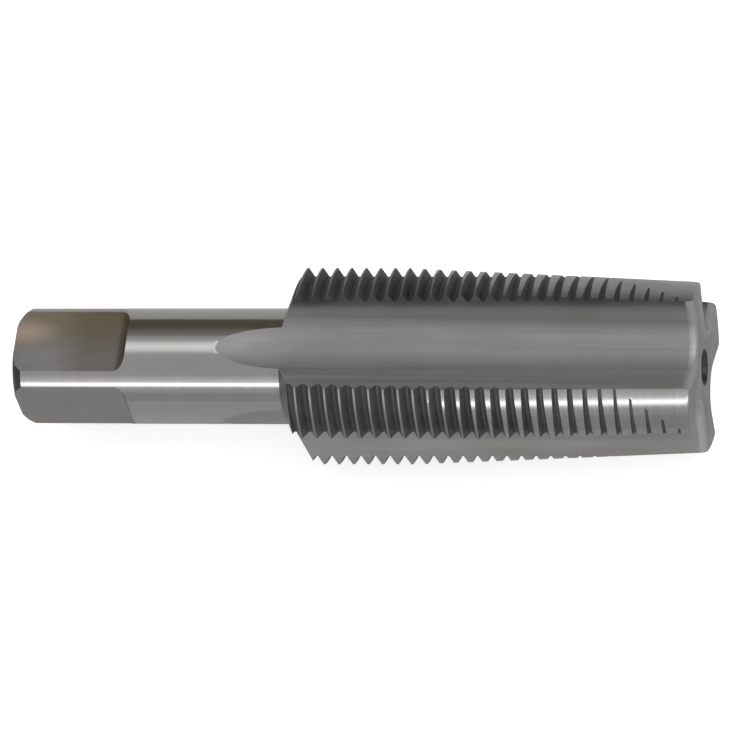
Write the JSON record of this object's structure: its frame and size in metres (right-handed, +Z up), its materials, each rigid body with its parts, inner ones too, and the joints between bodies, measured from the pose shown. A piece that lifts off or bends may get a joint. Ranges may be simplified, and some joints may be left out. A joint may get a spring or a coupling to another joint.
{
  "type": "thread tap",
  "caption": "Right-hand hand tap for cutting internal threads: straight flutes, long tapered lead, plain round shank and milled square drive.",
  "frame": {"origin": "on the surface the tap lies on, under the middle of its length and of its width", "axes": "+X along the tap's axis towards the cutting tip, +Z up as it lies on two lands with one flute straight down, +Y across"},
  "size_m": [0.0934, 0.0238, 0.0238],
  "materials": {
    "ground_steel": "satin ground high-speed steel, darker in the thread grooves"
  },
  "bodies": {
    "root": {"thread_tap": "ground_steel"}
  },
  "joints": []
}
